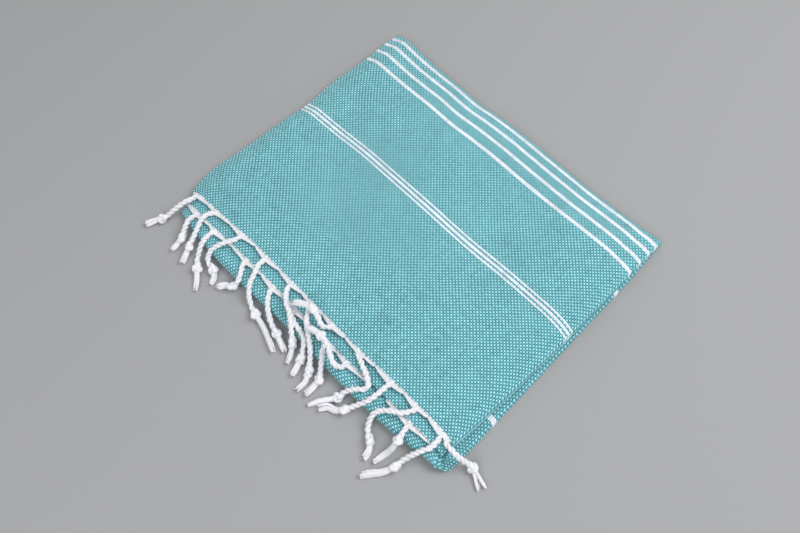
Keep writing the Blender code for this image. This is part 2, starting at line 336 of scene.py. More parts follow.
# %% [markdown]
# ## Shape of the folded cloth
# The towel was folded in half across its width, so the cloth goes from the left
# selvedge to a fold on the right and back. Then it was folded in thirds along its
# length. A good way to build a folded sheet is to write down where a point of the
# flat cloth ends up: how far it is along the length gives its place on a path of
# straight runs and half turns, and which of the two layers it is on gives how far
# inside that path it lies.

# %% Sizes of the folds, read from the frame
def box_in_mm(node):
    """The low and the high corner of a solid's box, in millimetres."""
    return [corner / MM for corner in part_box(node)]


top_low, top_high = box_in_mm("top_fringed_ply")
base_low, base_high = box_in_mm("base_outer_ply")
inner_low, inner_high = box_in_mm("base_inner_ply")
tucked_low, tucked_high = box_in_mm("tucked_upper_ply")
under_low = box_in_mm("under_fringed_ply")[0]
back_high = box_in_mm("back_fold_outer")[1]
front_low = box_in_mm("front_fold_outer")[0]
side_high = box_in_mm("side_fold_base")[1]

LEFT, RIGHT = top_low.x, side_high.x
TOP_HEIGHT = (top_low.z + top_high.z) / 2
BASE_HEIGHT = (base_low.z + base_high.z) / 2
TUCKED_HEIGHT = (tucked_low.z + tucked_high.z) / 2
PLY_STEP = (inner_low.z + inner_high.z) / 2 - BASE_HEIGHT
BACK_RADIUS = (TOP_HEIGHT - BASE_HEIGHT) / 2
FRONT_RADIUS = (TUCKED_HEIGHT - BASE_HEIGHT) / 2
SIDE_RADIUS = PLY_STEP / 2
TOP_EDGE, UNDER_EDGE, TUCKED_EDGE = top_low.y, under_low.y, tucked_high.y
BACK_AXIS = back_high.y - BACK_RADIUS - (top_high.z - TOP_HEIGHT)
FRONT_AXIS = front_low.y + FRONT_RADIUS + (base_high.z - BASE_HEIGHT)
SIDE_AXIS = RIGHT - SIDE_RADIUS - (base_high.z - BASE_HEIGHT)
THICKNESS = 0.9
print("ply step:", round(PLY_STEP, 2), "back fold radius:", round(BACK_RADIUS, 2))

# %% Path of one layer along the length
def along_the_length(distance, start, depth):
    """Where a layer lies, back to front and in height, this far from its fringed edge.

    start is where the layer's edge lies, and depth how far the layer is inside
    the outer one, which makes its half turns tighter.
    """
    back, front = BACK_RADIUS - depth, FRONT_RADIUS - depth
    runs = (BACK_AXIS - start, math.pi * back, BACK_AXIS - FRONT_AXIS, math.pi * front)
    ends = np.cumsum(runs)
    level = np.ones_like(distance)
    back_turn = (distance - ends[0]) / back
    front_turn = (distance - ends[2]) / front
    on_stretch = [distance < end for end in ends]
    y = np.select(on_stretch, [
        start + distance,
        BACK_AXIS + back * np.sin(back_turn),
        BACK_AXIS - (distance - ends[1]),
        FRONT_AXIS - front * np.sin(front_turn),
    ], FRONT_AXIS + (distance - ends[3]))
    z = np.select(on_stretch, [
        (TOP_HEIGHT - depth) * level,
        BASE_HEIGHT + BACK_RADIUS + back * np.cos(back_turn),
        (BASE_HEIGHT + depth) * level,
        BASE_HEIGHT + FRONT_RADIUS - front * np.cos(front_turn),
    ], (TUCKED_HEIGHT - depth) * level)
    return y, z


TOP_RUN = BACK_AXIS - TOP_EDGE
BACK_TURN = math.pi * BACK_RADIUS
BASE_RUN = BACK_AXIS - FRONT_AXIS
FRONT_TURN = math.pi * FRONT_RADIUS
TUCKED_RUN = TUCKED_EDGE - FRONT_AXIS
CLOTH_LENGTH = TOP_RUN + BACK_TURN + BASE_RUN + FRONT_TURN + TUCKED_RUN
HALF_WIDTH = SIDE_AXIS - LEFT
SIDE_TURN = math.pi * SIDE_RADIUS
CLOTH_WIDTH = 2 * HALF_WIDTH + SIDE_TURN
print("flat cloth in mm:", round(CLOTH_WIDTH, 1), "by", round(CLOTH_LENGTH, 1))

# %% [markdown]
# A cloth that is only folded looks like sheet metal. Real plies slump: they sink at
# their free edges, bulge where the fold springs back, and lean out of square. All
# plies of a stack do that together, so one smooth shift of space, which moves each
# point by where it lies in the stack, bends them all and never lets them cross.

# %% How the stack slumps
def curve_through(at, places, values):
    """A smooth curve through a few values, for how far an edge stands out."""
    places, values = np.array(places, float), np.array(values, float)
    slopes = np.gradient(values, places)
    at = np.clip(at, places[0], places[-1])
    index = np.clip(np.searchsorted(places, at, side="right") - 1, 0, len(places) - 2)
    wide = places[index + 1] - places[index]
    share = (at - places[index]) / wide
    return ((1 + 2 * share) * (1 - share) ** 2 * values[index]
            + share * (1 - share) ** 2 * wide * slopes[index]
            + share ** 2 * (3 - 2 * share) * values[index + 1]
            - share ** 2 * (1 - share) * wide * slopes[index + 1])


def hill(distance, width):
    """1 at no distance, falling smoothly to nothing past the width."""
    return np.exp(-(distance / width) ** 2)


# Each table has places along an edge, then how far the edge stands out at each, in mm.
LEFT_BULGE = ((-108, -99, -86, -71, -61, -47, -20, 0, 19, 42, 83, 96, 108),
              (-8.0, -6.0, -0.5, 2.4, 2.8, 1.2, 0.6, 0.2, -0.8, 1.4, 1.6, 4.0, 6.0))
RIGHT_TOP_BULGE = ((-98, -60, 0, 50, 100), (-4.5, -2.2, -0.8, -1.0, -2.2))
RIGHT_BASE_BULGE = ((-108, -90, -60, -30, 30, 80, 108), (5.0, 5.4, 4.6, 3.6, 1.4, -0.4, -3.0))
BACK_BULGE = ((-130, -118, -107, -84, -62, -41, -22, 36, 73, 90, 103, 112, 120, 128),
              (7.6, 7.8, 6.6, 4.4, 3.4, 2.4, 4.0, 4.3, 3.2, 3.7, 4.6, 5.6, 7.4, 9.0))
FRONT_BULGE = ((-130, -118, -95, 0, 95, 112, 122, 130), (-7, -3, 0.6, -0.6, -2.6, -5.6, -8, -9))
STRIPE_BOW = ((-128, -118, -97, -65, -30, 0, 35, 73, 95, 108, 120, 127),
              (-2.8, -2.4, -1.8, 0.0, 0.2, 0.0, -0.3, 1.0, 1.3, 1.3, 0.4, -0.8))
BACK_SINK = 7.6
BACK_REACH = 1.9
BACK_CORNER_LEAN = 3.4
POCKET_DIP = 0.7
FRINGED_EDGE_DIP = 0.5
LEFT_SQUEEZE, RIGHT_SQUEEZE, CORNER_SQUEEZE = 0.34, 0.10, 0.22
BROAD_SWELL, FINE_SWELL = 0.55, 0.22


def wrinkles(x, y):
    """A gentle swell of the cloth's height, the same for every ply."""
    places = np.stack([x, y], axis=-1).reshape(-1, 2)
    heights = [BROAD_SWELL * noise.noise((px / 70, py / 55, 3.1))
               + FINE_SWELL * noise.noise((px / 24, py / 30, 7.7)) for px, py in places]
    return np.array(heights).reshape(x.shape)


def slump(x, y, z):
    """Where a point of the square stack goes once the cloth has settled."""
    across = np.clip((x - LEFT) / (RIGHT - LEFT), 0, 1)
    high = np.clip((z - BASE_HEIGHT) / (TOP_HEIGHT - BASE_HEIGHT), 0, 1)
    backward = np.clip((y + 20) / (BACK_AXIS + 20), 0, 1.1)
    forward = np.clip((FRONT_AXIS + 40 - y) / 40, 0, 1.1)
    near_left = hill(np.maximum(x - LEFT, 0), 7)
    near_right = hill(np.maximum(RIGHT - x, 0), 4.5)
    near_corner = hill(np.hypot(x - LEFT, y - TOP_EDGE), 26)
    back_corner = hill(RIGHT - x, 20) * np.clip(y / 80, 0, 1)
    left_out = curve_through(y, *LEFT_BULGE)
    right_out = (high * curve_through(y, *RIGHT_TOP_BULGE)
                 + (1 - high) * curve_through(y, *RIGHT_BASE_BULGE))
    new_x = x - left_out * (1 - across) ** 4 + right_out * across ** 6
    new_y = (y + curve_through(x, *BACK_BULGE) * backward ** 2.5
             + BACK_REACH * np.clip((y - 95) / 12, 0, 1) ** 1.5
             - curve_through(x, *FRONT_BULGE) * forward ** 2 * (1 - high)
             + high * (curve_through(x, *STRIPE_BOW) - BACK_CORNER_LEAN * back_corner))
    pocket = hill(y - 70, 14) * hill(x / 110, 1)
    sink = BACK_SINK * np.clip((y - 72) / 36, 0, 1.2) ** 2.2
    squeeze = (1 - LEFT_SQUEEZE * near_left - RIGHT_SQUEEZE * near_right
               - CORNER_SQUEEZE * near_corner)
    new_z = BASE_HEIGHT + (z - BASE_HEIGHT) * squeeze
    new_z = new_z + high * (wrinkles(x, y) - POCKET_DIP * pocket
                            - FRINGED_EDGE_DIP * hill(y - TOP_EDGE + 4, 9) - sink)
    return new_x, new_y, np.maximum(new_z, BASE_HEIGHT)


print("left edge stands out by up to", max(LEFT_BULGE[1]), "mm")

# %% [markdown]
# ## The sheet
# The sheet is a grid. Its columns run along the cloth's length and its rows across
# it, close together where the cloth bends and wide apart where it is flat. Solidify
# would thicken it, but the grid is written with its two faces at once, so that each
# face can have its own place in the map that a finish is baked into.

# %% Columns and rows of the grid
def stations(*stretches):
    """Places from one end to the other, each stretch with its own step."""
    places = [0.0]
    for end, step in stretches:
        start = places[-1]
        count = max(1, round((end - start) / step))
        places += list(start + (end - start) * (np.arange(count) + 1) / count)
    return np.array(places)


columns = stations(
    (10, 0.9), (HALF_WIDTH - 8, 2.4), (HALF_WIDTH, 0.9), (HALF_WIDTH + SIDE_TURN, 0.35),
    (HALF_WIDTH + SIDE_TURN + 8, 1.0), (CLOTH_WIDTH - 10, 4.5), (CLOTH_WIDTH, 1.5))
rows = stations(
    (20, 1.3), (TOP_RUN - 14, 2.4), (TOP_RUN, 1.2), (TOP_RUN + BACK_TURN + 4, 0.9),
    (TOP_RUN + BACK_TURN + BASE_RUN - 16, 4.5), (TOP_RUN + BACK_TURN + BASE_RUN, 1.2),
    (TOP_RUN + BACK_TURN + BASE_RUN + FRONT_TURN + 5, 0.6), (CLOTH_LENGTH, 5.0))
print("grid:", len(columns), "columns by", len(rows), "rows")

# %% Fold the grid
def folded(across, along):
    """Where points of the flat cloth lie in the stack, before it slumps."""
    outer = np.clip(across, 0, HALF_WIDTH)
    inner = np.clip(across - HALF_WIDTH - SIDE_TURN, 0, HALF_WIDTH)
    turn = np.clip((across - HALF_WIDTH) / SIDE_RADIUS, 0, math.pi)
    x = LEFT + outer - inner + SIDE_RADIUS * np.sin(turn)
    depth = SIDE_RADIUS * (1 - np.cos(turn))
    layer = depth / PLY_STEP
    outer_y, outer_z = along_the_length(along, TOP_EDGE, 0.0)
    inner_y, inner_z = along_the_length(along, UNDER_EDGE, PLY_STEP)
    y = outer_y * (1 - layer) + inner_y * layer
    z = outer_z * (1 - layer) + inner_z * layer
    tucked = np.clip((along - (CLOTH_LENGTH - TUCKED_RUN) + 8) / 16, 0, 1)
    recess = (tucked_high.x + SIDE_RADIUS - RIGHT) / (RIGHT - LEFT)
    x = x + (x - LEFT) * recess * tucked
    return slump(x, y, z)


grid_across, grid_along = np.meshgrid(columns, rows)
middle = np.stack(folded(grid_across, grid_along), axis=-1)
across_way = np.gradient(middle, axis=1)
along_way = np.gradient(middle, axis=0)
outward = unit(np.cross(across_way, along_way))
print("highest point of the cloth in mm:", round(float(middle[..., 2].max()), 1))

# %% [markdown]
# The weave is measured in cloth coordinates, so the map "Weave" holds a point's
# place on the flat cloth in metres. The map "OFBake" is for baking the finish into
# an image. There every face needs a place of its own, and the top of the towel gets
# the largest share, because that is where the weave is seen.

# %% Write the sheet
FACE_BLOCKS = {
    "top": (0.004, 0.996, 0.330, 0.996),
    "under": (0.004, 0.996, 0.270, 0.326),
    "rest": (0.004, 0.996, 0.110, 0.266),
    "back": (0.004, 0.996, 0.014, 0.106),
    "rim": (0.004, 0.996, 0.002, 0.010),
}
UNDER_BLOCK_LENGTH = 34.0


def block_of(face_side, across, along):
    """Which block of the bake map a face belongs to, and its place in there."""
    side_end = HALF_WIDTH + SIDE_TURN
    back_end = TOP_RUN + BACK_TURN
    if face_side == "front" and across <= side_end and along <= back_end:
        return "top"
    if face_side == "back" and across >= side_end and along <= UNDER_BLOCK_LENGTH:
        return "under"
    return "rest" if face_side == "front" else "back"


BLOCK_SPANS = {
    "top": (0, HALF_WIDTH + SIDE_TURN, 0, TOP_RUN + BACK_TURN),
    "under": (HALF_WIDTH + SIDE_TURN, CLOTH_WIDTH, 0, UNDER_BLOCK_LENGTH),
    "rest": (0, CLOTH_WIDTH, 0, CLOTH_LENGTH),
    "back": (0, CLOTH_WIDTH, 0, CLOTH_LENGTH),
}
print("blocks of the bake map:", ", ".join(FACE_BLOCKS))


def bake_place(block, across, along):
    """A point's place in the bake map."""
    left, right, low, high = FACE_BLOCKS[block]
    start_u, end_u, start_v, end_v = BLOCK_SPANS[block]
    return (left + (right - left) * (across - start_u) / (end_u - start_u),
            low + (high - low) * (along - start_v) / (end_v - start_v))


# %% Faces of the sheet
def write_sheet(name, material):
    """The towel's cloth as one closed mesh with a front face, a back face and rims."""
    wide, long = len(columns), len(rows)
    front = (middle + outward * THICKNESS / 2).reshape(-1, 3)
    back = (middle - outward * THICKNESS / 2).reshape(-1, 3)
    faces, weave, bake = [], [], []

    def add(corner_numbers, flat_places, bake_places):
        faces.append(corner_numbers)
        weave.extend((across * MM, along * MM) for across, along in flat_places)
        bake.extend(bake_places)

    shift = wide * long
    for row in range(long - 1):
        for column in range(wide - 1):
            number = row * wide + column
            ring = (number, number + 1, number + wide + 1, number + wide)
            places = [(columns[c], rows[r]) for r, c in
                      ((row, column), (row, column + 1),
                       (row + 1, column + 1), (row + 1, column))]
            mid_across = (columns[column] + columns[column + 1]) / 2
            mid_along = (rows[row] + rows[row + 1]) / 2
            block = block_of("front", mid_across, mid_along)
            add(ring, places, [bake_place(block, *place) for place in places])
            block = block_of("back", mid_across, mid_along)
            flipped = places[::-1]
            add(tuple(n + shift for n in ring[::-1]), flipped,
                [bake_place(block, *place) for place in flipped])
    add_rims(add, wide, long, shift)
    mesh = bpy.data.meshes.new(name)
    mesh.from_pydata((np.vstack([front, back]) * MM).tolist(), [], faces)
    for layer_name, places in (("Weave", weave), ("OFBake", bake)):
        layer = mesh.uv_layers.new(name=layer_name)
        layer.data.foreach_set("uv", np.array(places, np.float32).ravel())
    mesh.shade_smooth()
    return link_mesh(name, mesh, material)


def add_rims(add, wide, long, shift):
    """The four thin sides that join the front face to the back face."""
    left, right, low, high = FACE_BLOCKS["rim"]
    around = ([(0, c) for c in range(wide)] + [(r, wide - 1) for r in range(1, long)]
              + [(long - 1, c) for c in range(wide - 2, -1, -1)]
              + [(r, 0) for r in range(long - 2, -1, -1)])
    for place in range(len(around) - 1):
        (row_a, column_a), (row_b, column_b) = around[place], around[place + 1]
        a, b = row_a * wide + column_a, row_b * wide + column_b
        flat_a, flat_b = (columns[column_a], rows[row_a]), (columns[column_b], rows[row_b])
        start = left + (right - left) * place / len(around)
        end = left + (right - left) * (place + 1) / len(around)
        add((b, a, a + shift, b + shift), [flat_b, flat_a, flat_a, flat_b],
            [(end, high), (start, high), (start, low), (end, low)])


# %% [markdown]
# ## Materials
# A woven cotton looks the way it does because of its yarns. Light warp yarns run the
# length and teal weft yarns cross them, one over, one under. Where a yarn is on top
# it shows as a small pillow, and between pillows the light gets lost, so the colour
# there is painted dark: painted shade in the gaps. The product of two sine waves, one
# for each set of yarns, is positive where the warp is on top and negative where the
# weft is, and its size is the pillow's height. So a few Math nodes give colour, painted
# gap shade and bump together.

# %% Node helpers
def new_material(name):
    """A material with its node tree and its Principled shader."""
    material = bpy.data.materials.new(name)
    material.use_nodes = True
    return material, material.node_tree, material.node_tree.nodes["Principled BSDF"]


def put(tree, socket, value):
    """Links an output to a socket, or sets a plain value on it."""
    if isinstance(value, bpy.types.NodeSocket):
        tree.links.new(value, socket)
    else:
        socket.default_value = value


def number(tree, operation, *values):
    """The output of one Math node."""
    node = tree.nodes.new("ShaderNodeMath")
    node.operation = operation
    for socket, value in zip(node.inputs, values):
        put(tree, socket, value)
    return node.outputs[0]


def blend(tree, share, first, second, way="MIX"):
    """The colour output of one Mix node."""
    node = tree.nodes.new("ShaderNodeMix")
    node.data_type = "RGBA"
    node.blend_type = way
    put(tree, node.inputs["Factor"], share)
    put(tree, node.inputs["A"], first)
    put(tree, node.inputs["B"], second)
    return node.outputs["Result"]


def ramp(tree, value, low, high, bottom=0.0, top=1.0):
    """Maps a value from one range to another, smoothly and without running over."""
    node = tree.nodes.new("ShaderNodeMapRange")
    node.interpolation_type = "SMOOTHSTEP"
    for name, item in zip(("Value", "From Min", "From Max", "To Min", "To Max"),
                          (value, low, high, bottom, top)):
        put(tree, node.inputs[name], item)
    return node.outputs["Result"]


def grain(tree, place, scale, detail=2.0, roughness=0.5):
    """Soft random values, from about 0.2 to 0.8."""
    node = tree.nodes.new("ShaderNodeTexNoise")
    node.noise_dimensions = "3D"
    put(tree, node.inputs["Vector"], place)
    put(tree, node.inputs["Scale"], scale)
    put(tree, node.inputs["Detail"], detail)
    put(tree, node.inputs["Roughness"], roughness)
    return node.outputs["Fac"]


def stretched(tree, place, wide, long):
    """The same place with its two directions scaled, which draws the grain out."""
    node = tree.nodes.new("ShaderNodeVectorMath")
    node.operation = "MULTIPLY"
    put(tree, node.inputs[0], place)
    node.inputs[1].default_value = (wide, long, 1.0)
    return node.outputs[0]


def colour(red, green, blue):
    return (red, green, blue, 1.0)


def map_parts(tree, name):
    """A map of the mesh, with its two directions apart as well."""
    place = tree.nodes.new("ShaderNodeUVMap")
    place.uv_map = name
    parts = tree.nodes.new("ShaderNodeSeparateXYZ")
    tree.links.new(place.outputs["UV"], parts.inputs["Vector"])
    return place.outputs["UV"], parts.outputs["X"], parts.outputs["Y"]


def relief(tree, shader, height, strength, distance):
    """Bump from a height, at most this many metres deep."""
    bump = tree.nodes.new("ShaderNodeBump")
    bump.inputs["Strength"].default_value = strength
    bump.inputs["Distance"].default_value = distance
    tree.links.new(height, bump.inputs["Height"])
    tree.links.new(bump.outputs["Normal"], shader.inputs["Normal"])


def cotton_gloss(shader, sheen, sheen_roughness, specular):
    """The faint glow and weak gloss of cotton, the same all over."""
    shader.inputs["Sheen Weight"].default_value = sheen
    shader.inputs["Sheen Roughness"].default_value = sheen_roughness
    shader.inputs["Specular IOR Level"].default_value = specular



# %% Cloth material
# The pitch is coarser than the real 1.2 to 1.4 mm, so that the weave shows from afar.
YARN_PITCH = 0.00145
BOLD_STRIPES = (0.1634, 0.1732, 0.1822, 0.1893)
MARK_STRIPES = (0.2480, 0.3660)
TRIPLE_STRIPE = 0.1030
TRIPLE_STEP = 0.0031
BOLD_HALF, MARK_HALF, TRIPLE_HALF, THIN_HALF = 0.00125, 0.00185, 0.0009, 0.00065
STRIPE_EDGE = 0.00012


def stripe_mask(tree, along):
    """1 where the weft is white: bold stripes, a triple line and two base stripes."""
    bands = [(centre, BOLD_HALF) for centre in BOLD_STRIPES]
    bands += [(centre, MARK_HALF) for centre in MARK_STRIPES]
    bands += [(TRIPLE_STRIPE, TRIPLE_HALF), (TRIPLE_STRIPE - TRIPLE_STEP, THIN_HALF),
              (TRIPLE_STRIPE + TRIPLE_STEP, THIN_HALF)]
    mask = None
    for centre, half in bands:
        away = number(tree, "ABSOLUTE", number(tree, "SUBTRACT", along, centre))
        band = ramp(tree, away, half - STRIPE_EDGE, half + STRIPE_EDGE, 1.0, 0.0)
        mask = band if mask is None else number(tree, "MAXIMUM", mask, band)
    return mask


def cloth_material():
    material, tree, shader = new_material("teal_chambray_weave")
    flat_place, across, along = map_parts(tree, "Weave")
    wobble = grain(tree, flat_place, 90.0)
    drift = number(tree, "MULTIPLY", number(tree, "SUBTRACT", wobble, 0.5), 0.0007)
    warp_place = number(tree, "DIVIDE", number(tree, "ADD", across, drift), YARN_PITCH)
    weft_place = number(tree, "DIVIDE", number(tree, "SUBTRACT", along, drift), YARN_PITCH)
    warp_wave = number(tree, "SINE", number(tree, "MULTIPLY", warp_place, math.pi))
    weft_wave = number(tree, "SINE", number(tree, "MULTIPLY", weft_place, math.pi))
    weave = number(tree, "MULTIPLY", warp_wave, weft_wave)
    pillow = number(tree, "POWER", number(tree, "ABSOLUTE", weave), 0.7)
    warp_on_top = ramp(tree, weave, -0.12, 0.12)
    mask = stripe_mask(tree, along)
    mottle = grain(tree, flat_place, 14.0, 3.0)
    slub = grain(tree, flat_place, 420.0, 3.0)
    warp_streak = grain(tree, stretched(tree, flat_place, 1.0, 0.12), 520.0)
    weft_streak = grain(tree, stretched(tree, flat_place, 0.12, 1.0), 520.0)
    streak = number(tree, "ADD", warp_streak, weft_streak)

    weft = blend(tree, mask, colour(0.100, 0.370, 0.425), colour(0.84, 0.83, 0.88))
    warp = blend(tree, mask, colour(0.380, 0.760, 0.810), colour(0.90, 0.89, 0.93))
    yarns = blend(tree, warp_on_top, weft, warp)
    # painted shade: the dark colour put in the gaps between the yarn pillows, dark teal in the
    # teal cloth and grey in the white stripes
    painted_gap_shade = blend(tree, mask, colour(0.010, 0.110, 0.135), colour(0.45, 0.55, 0.62))
    yarns_with_gap_shade = blend(tree, ramp(tree, pillow, 0.05, 0.62), painted_gap_shade, yarns)
    tone = number(tree, "ADD", number(tree, "MULTIPLY", mottle, 0.24),
                  number(tree, "MULTIPLY", number(tree, "ADD", slub, streak), 0.55))
    toned = blend(tree, 1.0, yarns_with_gap_shade, number(tree, "ADD", tone, 0.055), "MULTIPLY")
    tree.links.new(toned, shader.inputs["Base Color"])

    height = number(tree, "ADD", pillow, number(tree, "MULTIPLY", slub, 0.35))
    relief(tree, shader, height, 0.75, 0.00022)
    rough = ramp(tree, pillow, 0.0, 1.0, 0.95, 0.74)
    tree.links.new(rough, shader.inputs["Roughness"])
    cotton_gloss(shader, 0.25, 0.45, 0.25)
    return material


# %% [markdown]
# White cotton yarn is a bundle of short fibres laid in a slow spiral. Close up it is
# a pattern of fine slanting lines with shadow between them, which is painted here as
# grey in the colour, and it has a soft glow, because light gets into the fibres and
# comes out again beside where it went in.

# %% Tassel material
def yarn_material():
    material, tree, shader = new_material("white_cotton_yarn")
    _, along, around = map_parts(tree, "Strand")
    texture_place = tree.nodes.new("ShaderNodeTexCoord").outputs["Object"]
    fuzz = grain(tree, texture_place, 1500.0, 3.0, 0.65)
    lumps = grain(tree, texture_place, 260.0, 2.0)
    spiral = number(tree, "ADD", number(tree, "MULTIPLY", around, 5.0),
                    number(tree, "MULTIPLY", along, 0.9))
    uneven = number(tree, "ADD", spiral, number(tree, "MULTIPLY", lumps, 2.2))
    fibres = number(tree, "SINE", number(tree, "MULTIPLY", uneven, 2 * math.pi))
    ridge = number(tree, "ADD", number(tree, "MULTIPLY", fibres, 0.30),
                   number(tree, "MULTIPLY", fuzz, 0.9))
    shade = ramp(tree, ridge, -0.1, 0.85)
    tint = blend(tree, lumps, colour(0.88, 0.86, 0.91), colour(0.93, 0.93, 0.94))
    # painted shadow: the grey that goes between the slanting fibre lines
    toned = blend(tree, shade, colour(0.74, 0.74, 0.79), tint)
    tree.links.new(toned, shader.inputs["Base Color"])
    relief(tree, shader, ridge, 0.6, 0.00025)
    rough = ramp(tree, fuzz, 0.2, 0.8, 0.98, 0.80)
    tree.links.new(rough, shader.inputs["Roughness"])
    cotton_gloss(shader, 0.3, 0.5, 0.2)
    return material


chambray = cloth_material()
cotton = yarn_material()
print("materials:", chambray.name, "and", cotton.name)

# %% [markdown]
# ## Make the cloth
# The finished sheet rides on the frame's one body, and stands for the plies and the
# folds between them, which the frame then hides.

# %% The towel's cloth
towel = write_sheet("towel_cloth", chambray)
CLOTH_NODES = (
    "top_fringed_ply", "under_fringed_ply", "base_outer_ply", "base_inner_ply",
    "tucked_lower_ply", "tucked_upper_ply", "back_fold_outer", "back_fold_inner",
    "front_fold_outer", "front_fold_inner", "side_fold_top", "side_fold_tucked",
    "side_fold_base",
)
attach(towel, "root")
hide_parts(*CLOTH_NODES)
print("cloth faces:", len(towel.data.polygons))

# %% [markdown]
# ## The tassels
# A tassel is a two-strand rope: two bundles of warp threads twisted round each other
# in a slow spiral. Near its end it is tied in an overhand knot, and past the knot the
# threads come loose. The rope is two tubes that wind round the route. The knot is a
# tube along a trefoil, which is the curve that an overhand knot pulls tight into.
# The loose end is a few thin tubes that drift apart.

# %% Rope, knot and loose end
STRAND_RADIUS = 1.14
STRAND_OFFSET = 0.78
TWIST_LENGTH = 7.5
KNOT_SCALE = 0.80
KNOT_TUBE = 1.62
LOOSE_YARNS, END_FIBRES, FUZZ_HAIRS = 10, 16, 36
FLOOR_GAP = 0.08


def offset_line(line, across, upward):
    """A line beside another, moved across and upward in its carried frame."""
    side, up = carried_frame(line)
    return line + side * np.reshape(across, (-1, 1)) + up * np.reshape(upward, (-1, 1))


def above_floor(line, radius):
    """The same line, lifted wherever a tube of this radius would sink in the floor."""
    line[:, 2] = np.maximum(line[:, 2], radius + FLOOR_GAP)
    return line


def add_rope(writer, line, dice, fatness):
    """Two strands wound round the line, a little uneven as hand-twisted ones are."""
    along = lengths_along(line)
    phase = dice.uniform(0, 2 * math.pi)
    wander = np.array([noise.noise((s / 6, phase, 0.0)) for s in along])
    turn = phase + 2 * math.pi * along / TWIST_LENGTH + 0.8 * wander
    thin = 0.72 + 0.28 * np.clip(along / 4, 0, 1)
    for strand in range(2):
        angle = turn + math.pi * strand
        swell = np.array([noise.noise((s / 4, phase, 5.0 + strand)) for s in along])
        radii = STRAND_RADIUS * fatness * thin * (1 + 0.18 * swell)
        wound = offset_line(line, STRAND_OFFSET * np.cos(angle), STRAND_OFFSET * np.sin(angle))
        writer.tube(above_floor(wound, radii * 1.1), radii, sides=9, turn=phase, rough=0.22)


def add_knot(writer, line, index, dice, size=1.0):
    """An overhand knot pulled tight round one point of the line."""
    side, up = carried_frame(line)
    ahead = unit(np.gradient(line, axis=0))
    turn = np.linspace(0, 2 * math.pi, 49)
    roll = dice.uniform(0, 2 * math.pi)
    squash = dice.uniform(0.95, 1.25)
    first = np.sin(turn) + 2 * np.sin(2 * turn)
    second = np.cos(turn) - 2 * np.cos(2 * turn)
    third = -np.sin(3 * turn)
    scale = KNOT_SCALE * size
    cross_a = side[index] * math.cos(roll) + up[index] * math.sin(roll)
    cross_b = np.cross(ahead[index], cross_a)
    knot = (line[index] + scale * (first[:, None] * cross_a / squash
                                   + second[:, None] * ahead[index] * squash
                                   + third[:, None] * cross_b * 1.3))
    radii = KNOT_TUBE * size * (1 + 0.14 * np.sin(2 * turn + roll) + 0.08 * np.sin(5 * turn))
    writer.tube(above_floor(knot, radii * 1.1), radii, sides=9, rough=0.28)


def add_loose_end(writer, line, dice, fork):
    """Soft yarns past the knot, in one brush, or in two where the end is forked."""
    along = lengths_along(line)
    share = along / along[-1]
    spread, radius = (0.9, 0.80) if fork else (1.9, 0.86)
    for yarn in range(LOOSE_YARNS):
        angle = 2 * math.pi * yarn / LOOSE_YARNS + dice.uniform(-0.4, 0.4)
        far = spread * dice.uniform(0.35, 1.1)
        reach = 1.0 if yarn < 4 else dice.uniform(0.86, 1.0)
        kept = share <= reach
        opening = 0.85 + (far - 0.85) * share[kept] ** 0.8
        sway = angle + 0.9 * share[kept] * dice.uniform(-1, 1)
        across = opening * np.cos(sway)
        if fork:
            across = across + (1 if math.cos(angle) > 0 else -1) * 2.2 * share[kept] ** 1.2
        loose = offset_line(line[kept], across, opening * np.sin(sway) * (0.5 if fork else 1))
        taper = np.clip((reach - share[kept]) / 0.2, 0.4, 1) ** 0.6
        radii = radius * taper * dice.uniform(0.8, 1.15)
        writer.tube(above_floor(loose, radii * 1.1), radii, sides=7, rough=0.25)
    side, up = carried_frame(line)
    for _ in range(END_FIBRES):
        angle, start = dice.uniform(0, 2 * math.pi), dice.uniform(0.55, 0.9)
        begin = int(start * (len(line) - 1))
        out = math.cos(angle) * side[begin] + math.sin(angle) * up[begin]
        across = dice.uniform(0.4, 1.3)
        root = line[begin] + out * across
        ahead = unit(line[-1] - line[max(0, len(line) - 6)])
        tip = root + ahead * dice.uniform(1.5, 3.4) + out * dice.uniform(0.1, 1.2)
        drift = np.array([dice.uniform(-1, 1) for _ in range(3)])
        middle_point = (root + tip) / 2 + 0.3 * drift
        hair = smooth_line([root, middle_point, tip], 0.7)
        writer.tube(above_floor(hair, 0.16), 0.16, sides=4)


def add_fuzz(writer, line, dice):
    """Short fibres that stand off the yarn, which blur its outline as cotton does."""
    side, up = carried_frame(line)
    ahead = unit(np.gradient(line, axis=0))
    for _ in range(FUZZ_HAIRS):
        index = dice.randrange(2, len(line) - 1)
        angle = dice.uniform(0, 2 * math.pi)
        out = math.cos(angle) * side[index] + math.sin(angle) * up[index]
        root = line[index] + out * 1.3
        tip = root + out * dice.uniform(0.5, 1.3) + ahead[index] * dice.uniform(-1.6, 1.6)
        middle_point = (root + tip) / 2 + ahead[index] * dice.uniform(-0.4, 0.4)
        hair = smooth_line([root, middle_point, tip], 0.8)
        writer.tube(above_floor(hair, 0.11), 0.10, sides=3)


print("rope width in mm:", round(2 * (STRAND_RADIUS + STRAND_OFFSET), 2))

# %% Make the tassels
ROOT_DEPTH = 0.6
SETTLING_LENGTH = 14
FORKED_PAST = 120
TUCKED_FATNESS, TUCKED_KNOT_SIZE = 0.8, 0.66
FIRST_SEED = 100


def settled(line):
    """The line with its start moved to where the slumped cloth's edge has gone."""
    moved = np.array(slump(*[line[:1, axis] for axis in range(3)])).T - line[0]
    inward = np.array([0, -ROOT_DEPTH if line[0][1] > 0 else ROOT_DEPTH, 0])
    fade = np.clip(1 - lengths_along(line) / SETTLING_LENGTH, 0, 1)[:, None]
    fade = fade * fade * (3 - 2 * fade)
    return line + (moved + inward) * fade


